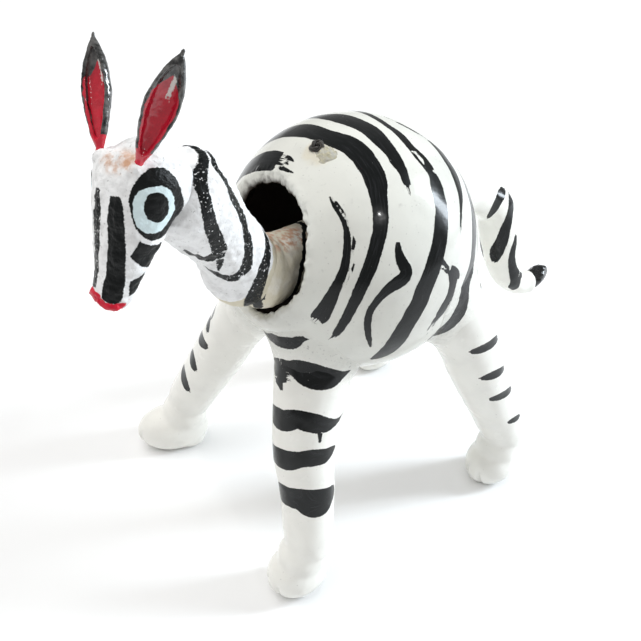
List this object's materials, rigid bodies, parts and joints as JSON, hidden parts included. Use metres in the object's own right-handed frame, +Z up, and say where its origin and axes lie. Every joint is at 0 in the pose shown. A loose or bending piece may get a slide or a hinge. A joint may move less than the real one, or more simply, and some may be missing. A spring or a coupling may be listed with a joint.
{
  "type": "gourd zebra figurine",
  "caption": "Painted zebra figurine with a hollow gourd body on short legs, a hooked tail and a balanced head and neck that nod and sway on a thread.",
  "frame": {"origin": "on the floor under the middle of the figurine's width and length", "axes": "+Z up, -Y where the animal faces, +X towards the animal's left side"},
  "size_m": [0.0648, 0.1148, 0.1225],
  "materials": {
    "painted_gourd": "gloss",
    "painted_wood": "gloss",
    "painted_paste": "satin",
    "rough_paste": "matte",
    "black_tuft": "gloss",
    "painted_ear": "gloss",
    "bare_wood": "matte",
    "plug_wood": "matte",
    "black_thread": "matte",
    "glue": "gloss",
    "steel_wire": "satin",
    "heavy_metal": "matte"
  },
  "bodies": {
    "gourd_body": {"gourd_shell": "painted_gourd", "leg_front_left": "painted_wood", "leg_front_right": "painted_wood", "leg_rear_left": "painted_wood", "leg_rear_right": "painted_wood", "leg_peg_front_left": "bare_wood", "leg_peg_front_right": "bare_wood", "leg_peg_rear_left": "bare_wood", "leg_peg_rear_right": "bare_wood", "leg_collar_front_left": "painted_paste", "leg_collar_front_right": "painted_paste", "leg_collar_rear_left": "painted_paste", "leg_collar_rear_right": "painted_paste", "tail": "painted_wood", "tail_peg": "bare_wood", "tail_tuft": "black_tuft", "thread_knot": "black_thread", "glue_bead": "glue"},
    "thread": {"hanging_thread": "black_thread"},
    "loop": {"thread_loop": "black_thread"},
    "head": {"thread_eye": "steel_wire", "neck_plug": "plug_wood", "neck": "rough_paste", "neck_wire": "steel_wire", "counterweight": "heavy_metal", "head": "rough_paste", "ear_left": "painted_ear", "ear_right": "painted_ear"}
  },
  "joints": [
    {"name": "thread_swing", "type": "hinge", "parent": "gourd_body", "child": "thread", "pos_m": [0.00206, -0.0082, 0.09226], "axis": [1, 0, 0], "range_deg": [-4, 1]},
    {"name": "thread_twist", "type": "hinge", "parent": "thread", "child": "loop", "pos_m": [0.00206, -0.0082, 0.08], "axis": [0, 0, 1], "range_deg": [-28, 2]},
    {"name": "head_nod", "type": "hinge", "parent": "loop", "child": "head", "pos_m": [0.00206, -0.0082, 0.07871], "axis": [0.9744, 0.225, 0], "range_deg": [-18, 2.5]}
  ]
}
